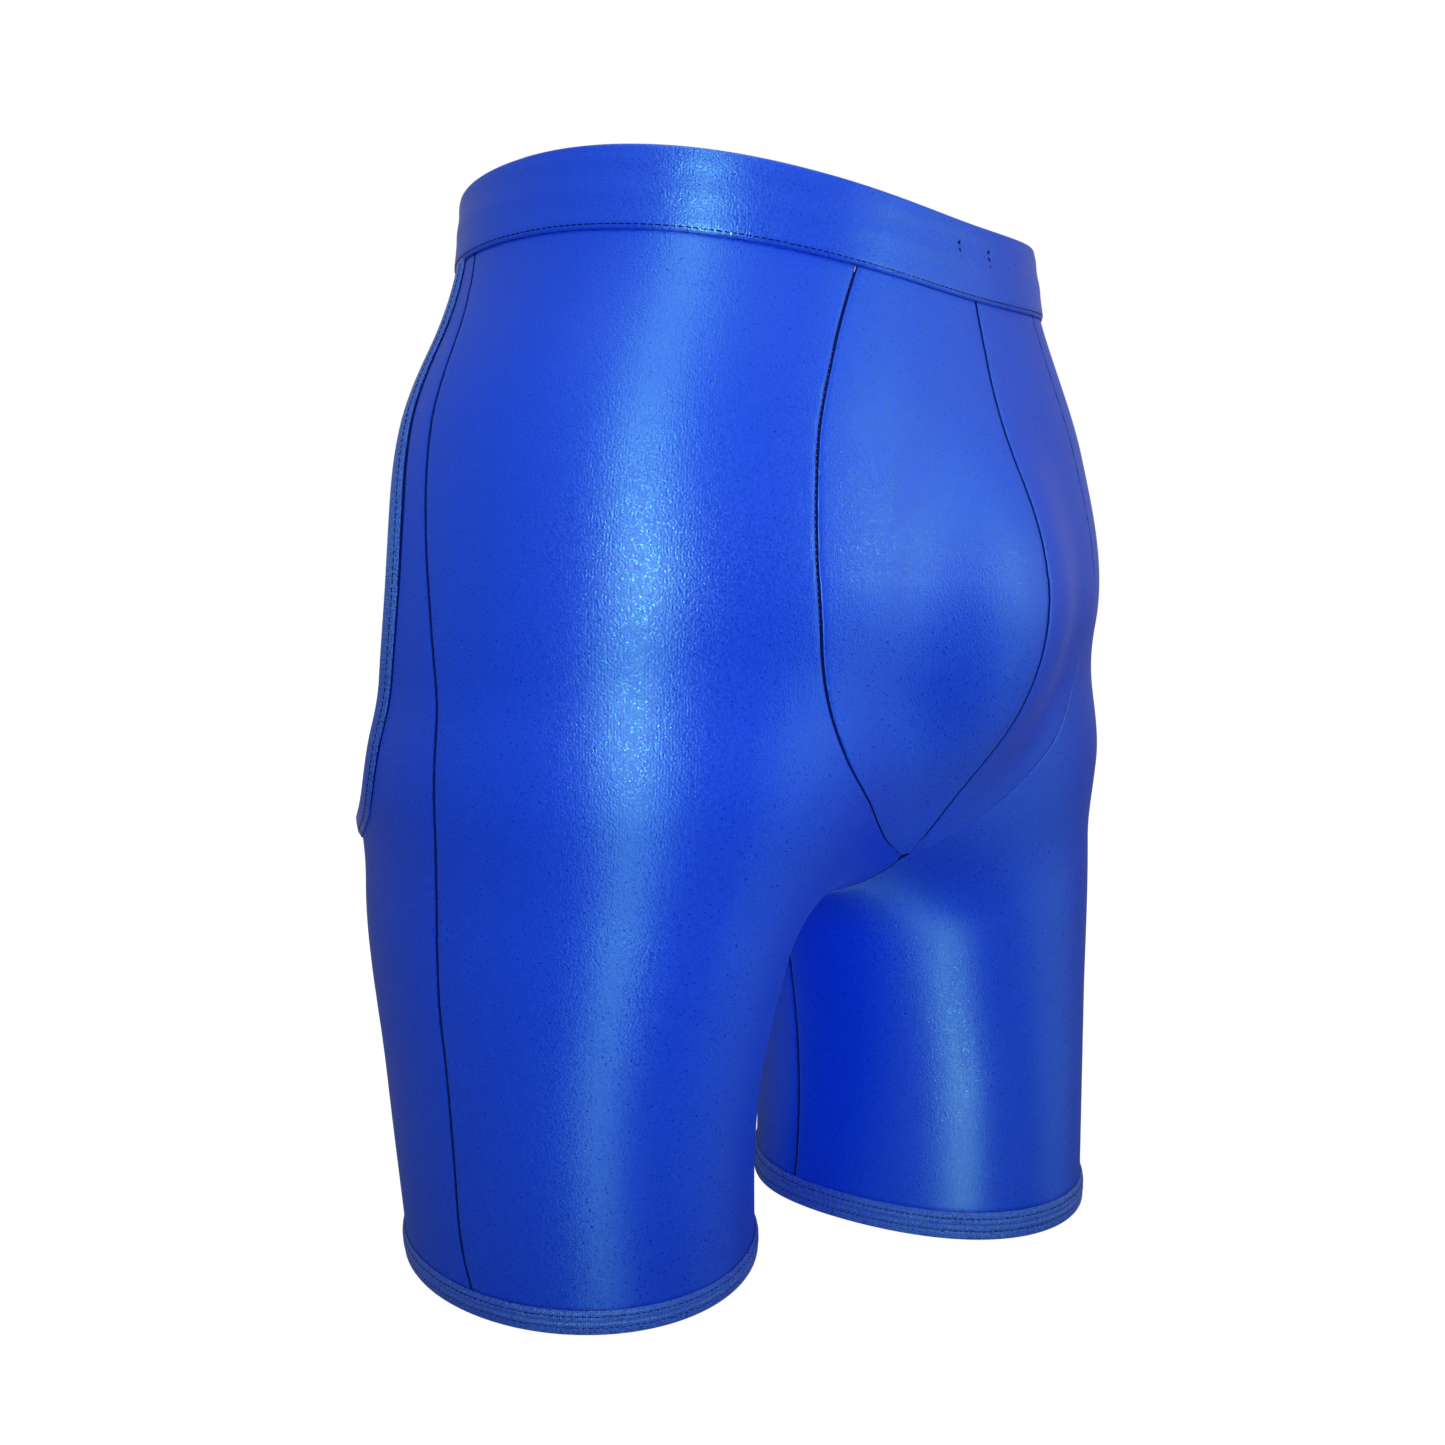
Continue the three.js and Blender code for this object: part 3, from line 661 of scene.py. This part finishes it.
def pouch_panel(name, side, rows, limit, depth, material, stands_for, marks=(), ridge=0.0):
    seam = pouch_seam(side, rows)
    first = on_rise([POUCH_TIP + 1.5])[0, 2]
    way = np.linspace(0, 1, rows)
    low = first + (WAIST_SIDE - FRONT_DIP + TUCK - first) * way
    keep = low < limit

    def place(u):
        x = seam[:, :1] * u
        z = low[:, None] + (seam[:, 2:] - low[:, None]) * u
        p = on_front(x, z)
        rise = waist_seam_over(p[-1]) + TUCK - z[-1]
        return on_front(x, z + rise * way[:, None] ** 4)

    sewn = np.repeat(np.array(TURNED_EDGE)[None], rows, 0)
    u, height = columns_between(place, rows, sewn, sewn, 46)
    p = place(u)
    uv = np.stack([p[..., 0] * 1.2, p[..., 2]], -1)
    ripple = np.sin(p[..., 2] * 1.15 + 2 * np.sin(p[..., 2] * 0.3))
    pucker = 0.05 * np.exp(-np.minimum(u, 1 - u) * 12) * ripple
    lift = height + (pucker + folds(p, marks)) * (height > ON_TOP) + depth
    lift = lift + ridge * (1 - smooth(p[..., 2], LINING_TOP - 1.2, LINING_TOP + 0.8)) * (height > ON_TOP)
    p = (p + normal_at(p) * lift[..., None])[keep]
    return cloth_from_grid(name, p, uv[keep], material, stands_for), area_of(p)


for side, word in WORDS.items():
    marks = POUCH_FOLDS if side < 0 else []
    cloth, area = pouch_panel(word + "_pouch_cloth", side, 124, 1000, 0, FACE,
                              [word + "_pouch_panel"], marks, LINING_RIDGE)
    sewn = []
    if side < 0:
        sewn.append(seam_stitches("centre_stitches", on_rise(np.linspace(POUCH_TIP + 4, 143, 160)),
                                  ["centre_seam_thread"]))
        sewn.append(seam_stitches("crotch_stitches", on_rise(np.linspace(-6, POUCH_TIP - 1, 60)),
                                  ["crotch_seam_thread"]))
    lining, area = pouch_panel(word + "_lining_cloth", side, 124, LINING_TOP, -2.1, LINING,
                               [word + "_pouch_lining"])

# ---------------------------------------------------------------- waistband
# A wide strip of the same knit folded over soft elastic and sewn to the panels along its two
# lower edges. It stands straight and shows two long shallow ripples.
BAND_HALF, BAND_LEAF = 1.7, 0.8
# Each ripple's distance down from the top edge, width and height.
WAIST_RIPPLES = [(4.5, 2.6, 0.28), (15.5, 3.4, 0.32)]
BAND_ROW, WAIST_STATIONS, WAIST_ROUND = 28.3, 720, 766
BAND = make_cloth("band_cloth", (0.003, 0.060, 0.98), (0.002, 0.038, 0.76), 0.43,
                  ribs=0.06, sparkle=0.8, sheen=0.08)
ELASTIC = make_cloth("elastic", (0.72, 0.72, 0.73), (0.6, 0.6, 0.62), 0.8,
                     ribs=0.8, sparkle=0.2, gleam=0.3, sheen=0.2, bump=0.5)


def band_outline(height, count):
    """Heights and offsets round a folded strip, from its outer free edge to its inner one."""
    down = height - (height - 1.5) * np.linspace(0, 1, count)
    bend = np.radians(np.linspace(80, -80, 9))
    outer = [(h, BAND_HALF) for h in down]
    fold = [(1.45 - 1.4 * np.cos(a), BAND_HALF * np.sin(a)) for a in bend]
    inner_fold = [(1.45 - 0.5 * np.cos(a), (BAND_HALF - BAND_LEAF) * np.sin(a)) for a in bend[::-2]]
    leaf = BAND_HALF - BAND_LEAF
    inside = [(height, -leaf), (height / 2, -leaf), (1.9, -leaf)]
    return np.array(outer + fold + [(h, -o) for h, o in outer[::-1]] + inside + inner_fold
                    + [(h, -o) for h, o in inside[::-1]])


def add_band(name, stations, outline, place, relief, closed, material, stands_for, length):
    count, around = len(stations), len(outline)
    h = np.repeat(outline[None, :, 0], count, 0)
    off = np.repeat(outline[None, :, 1], count, 0)
    # Past the elastic the two leaves close in on the panel between them.
    close = smooth(h, outline[:, 0].max() - 2.2, outline[:, 0].max())
    off = off - np.sign(off) * np.where(np.abs(off) > 1, 0.75, 0.5) * close
    way = np.linspace(0, length, count)[:, None]
    off = off + np.where(np.abs(off) > 1, np.sign(off) * relief(h, way, off > 0), 0)
    p = place(stations, h, off)
    faces = []
    for i in range(count if closed else count - 1):
        a, b = i * around, (i + 1) % count * around
        faces += [(a + j, a + (j + 1) % around, b + (j + 1) % around, b + j) for j in range(around)]
    if not closed:
        faces += [tuple(range(around - 1, -1, -1)), tuple(range((count - 1) * around, count * around))]
    uv = np.stack([np.repeat(way, around, 1), np.repeat(outline[None, :, 0], count, 0)], -1)
    piece = add_piece(name, p.reshape(-1, 3), faces, material, stands_for, uv.reshape(-1, 2))
    close_outwards(piece)
    return piece


def on_band(azimuth, height, offset):
    azimuth = np.asarray(azimuth)
    dip = waist_dip(azimuth)
    fold, seam = on_waist(azimuth, WAIST_TOP - dip), on_waist(azimuth, WAIST_SIDE - dip)
    out = normal_at(seam) * [1, 1, 0]
    out /= np.linalg.norm(out, axis=-1, keepdims=True)
    share = (np.asarray(height) / (WAIST_TOP - WAIST_SIDE))[..., None]
    if share.ndim == 3:
        fold, seam, out = fold[:, None], seam[:, None], out[:, None]
    return fold + (seam - fold) * share + out * np.asarray(offset)[..., None]


def waist_relief(h, way, outside):
    wobble = np.sin(way / 47) + 0.6 * np.sin(way / 19 + 1)
    swell = sum(high * np.exp(-((h - at - 1.2 * wobble) / wide) ** 2) for at, wide, high in WAIST_RIPPLES)
    pull = 0.6 + 0.4 * np.cos(way * 2 * np.pi / STITCH_PITCH)
    return swell - 0.25 * np.exp(-((h - BAND_ROW) / 0.7) ** 2) * pull


azimuths = np.arange(WAIST_STATIONS) * 360 / WAIST_STATIONS
waistband = add_band("waistband", azimuths, band_outline(WAIST_TOP - WAIST_SIDE, 26), on_band,
                     waist_relief, True, BAND, ["waistband_cover"], WAIST_ROUND)
row = on_band(azimuths, np.full(WAIST_STATIONS, BAND_ROW), np.full(WAIST_STATIONS, 1.45))
waist_run = stitch_run(np.vstack([row, row[:1]]), STITCH_PITCH, length=2.0, radius=0.24, lift=0)
waist_sewn = [add_stitches("waistband_stitches", [waist_run], ["waistband_seam_thread"])]
TACK_AZIMUTH = 5.5
for side, word in WORDS.items():
    tack = on_band(np.full(5, side * TACK_AZIMUTH), np.linspace(9.6, 15.4, 5), np.full(5, 1.85))
    runs = [stitch_run(tack + [shift, 0, 0], pitch=1.5, length=1.6, radius=0.26, lift=0, slant=0.35)
            for shift in (-0.35, 0.35)]
    waist_sewn.append(add_stitches(word + "_tack", runs, [word + "_waistband_tack"]))

for part in ("waistband", "right_hem", "left_hem", "right_seat", "left_seat"):
    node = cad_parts[part + "_elastic"]
    node.data.materials.clear()
    node.data.materials.append(ELASTIC)

# ---------------------------------------------------------------- hem bindings
# Each leg ends in a strip folded over narrow elastic, stitched through in two rows. Being pulled
# in, it stands proud of the leg and looks paler and more glittery.
HEM_ROWS, HEM_GROOVE = (9.4, 4.1), 6.6
HEM_STATIONS, HEM_ROUND = 720, 472
# Its two blues lie far apart, so its painted glint speckle is strong.
BINDING = make_cloth("binding_cloth", (0.05, 0.14, 0.90), (0.012, 0.05, 0.58), 0.46,
                     ribs=0.4, sparkle=1.2, sheen=0.3, bump=0.8)


def on_hem(side):
    def place(turn, height, offset):
        turn, height = np.asarray(turn), np.asarray(height, float)
        if height.ndim == 2:
            turn = turn[:, None]
        p = on_leg(side, turn + 0 * height, height)
        out = normal_at(p) * [1, 1, 0]
        return p + out / np.linalg.norm(out, axis=-1, keepdims=True) * np.asarray(offset)[..., None]
    return place


def hem_relief(h, way, outside):
    pull = 0.5 + 0.5 * np.cos(way * 2 * np.pi / STITCH_PITCH)
    rows = sum((0.14 + 0.16 * pull) * np.exp(-((h - at) / 0.5) ** 2) for at in HEM_ROWS)
    groove = 0.5 * np.exp(-((h - HEM_GROOVE) / 0.35) ** 2)
    plump = 0.25 * np.exp(-((h - 8) / 0.9) ** 2) + 0.3 * np.exp(-((h - 5.2) / 0.9) ** 2)
    gather = 0.06 * np.sin(way * 2.1 + 2 * np.sin(way * 0.37)) * np.exp(-((h - 2.4) / 1.4) ** 2)
    return plump + gather - rows - groove * outside


turns = np.arange(HEM_STATIONS) * 360 / HEM_STATIONS + 45
for side, word in WORDS.items():
    place = on_hem(side)
    hem = add_band(word + "_hem", turns, band_outline(HEM_BAND, 34), place, hem_relief, True,
                   BINDING, [word + "_hem_binding"], HEM_ROUND)
    runs = []
    for at in HEM_ROWS:
        row = place(turns, np.full(HEM_STATIONS, at), np.full(HEM_STATIONS, 1.55))
        row = np.vstack([row, row[:1]])
        runs.append(stitch_run(row, STITCH_PITCH, length=1.9, radius=0.24, lift=0))
    rows = add_stitches(word + "_hem_stitches", runs, [word + "_hem_thread"])

# ---------------------------------------------------------------- open seat bindings
# The edge of the open seat is a narrow folded strip over thin elastic, from under the crotch
# round the buttock and up to the waistband, with one row of stitches.
SEAT_ROW, SEAT_STATIONS, SEAT_LENGTH = 6.0, 420, 471


def seat_relief(h, way, outside):
    pull = 0.5 + 0.5 * np.cos(way * 2 * np.pi / STITCH_PITCH)
    return (0.12 * np.exp(-((h - 3.6) / 1.5) ** 2)
            - (0.12 + 0.16 * pull) * np.exp(-((h - SEAT_ROW) / 0.5) ** 2))


for side, word in WORDS.items():
    edge = seat_edge(side, SEAT_STATIONS)
    edge[0, 0] = side * 0.3

    def on_seat(stations, height, offset):
        height = np.asarray(height, float)
        out = np.empty(height.shape + (3,))
        for j in range(height.shape[1]):
            out[:, j] = beside_edge(side, edge, height[:, j:j + 1], offset[:, j])
        out[0, :, 0] = edge[0, 0]
        return out

    seat = add_band(word + "_seat", np.arange(SEAT_STATIONS), band_outline(SEAT_BAND, 18), on_seat,
                    seat_relief, False, BINDING, [word + "_seat_binding"], SEAT_LENGTH)
    row = beside_edge(side, edge, SEAT_ROW, np.full(SEAT_STATIONS, 1.55))[4:-3]
    run = stitch_run(row, STITCH_PITCH, length=1.9, radius=0.24, lift=0)
    stitched = add_stitches(word + "_seat_stitches", [run], [word + "_seat_thread"])

# ---------------------------------------------------------------- floor and studio light
# A plain pale floor under a white surround. A tall narrow key light from the wearer's right front
# draws the long gleam down the near thigh, and three weaker ones light the pouch, left and top.
bpy.context.scene.view_settings.view_transform = "Standard"
world = bpy.data.worlds.new("studio")
world.use_nodes = True
backdrop = world.node_tree.nodes["Background"].inputs
backdrop["Color"].default_value = (1, 1, 1, 1)
AMBIENT = 0.29


def white_to_the_eye(tree, entry, unseen, seen):
    # Plain white where it is looked at straight, dimmer where it only lights the cloth.
    path = tree.nodes.new("ShaderNodeLightPath")
    level = tree.nodes.new("ShaderNodeMapRange")
    level.inputs["To Min"].default_value = unseen
    level.inputs["To Max"].default_value = seen
    tree.links.new(path.outputs["Is Camera Ray"], level.inputs["Value"])
    tree.links.new(level.outputs["Result"], entry)


white_to_the_eye(world.node_tree, backdrop["Strength"], AMBIENT, 1)
bpy.context.scene.world = world

bpy.ops.object.select_all(action="DESELECT")
bpy.ops.mesh.primitive_plane_add(size=12, location=(0, 0, -0.0005))
floor = bpy.context.object
floor.name = "floor"
paper = bpy.data.materials.new("floor_paper")
paper.use_nodes = True
surface = paper.node_tree.nodes["Principled BSDF"].inputs
surface["Base Color"].default_value = (0.25, 0.25, 0.25, 1)
surface["Roughness"].default_value = 0.9
surface["Specular IOR Level"].default_value = 0
surface["Emission Color"].default_value = (1, 1, 1, 1)
white_to_the_eye(paper.node_tree, surface["Emission Strength"], 0, 0.96)
floor.data.materials.append(paper)


def soft_light(name, place, target, size, size_y, power, spread=180):
    data = bpy.data.lights.new(name, "AREA")
    data.shape = "RECTANGLE"
    data.size = size
    data.size_y = size_y
    data.energy = power
    data.spread = np.radians(spread)
    light = bpy.data.objects.new(name, data)
    light.location = place
    light.rotation_euler = (Vector(target) - Vector(place)).to_track_quat("-Z", "Y").to_euler()
    bpy.context.scene.collection.objects.link(light)


soft_light("key", (-0.95, -0.90, 0.42), (-0.172, -0.122, 0.315), 0.30, 0.65, power=0.42, spread=24)
soft_light("front", (0.42, -1.30, 0.55), (-0.06, -0.12, 0.32), 0.3, 0.3, power=0.045, spread=20)
soft_light("fill", (1.0, -1.2, 0.5), (0, 0, 0.3), 0.9, 0.9, power=2.2)
soft_light("top", (0, -0.2, 2.4), (0, 0, 0), 1.8, 1.8, power=10)
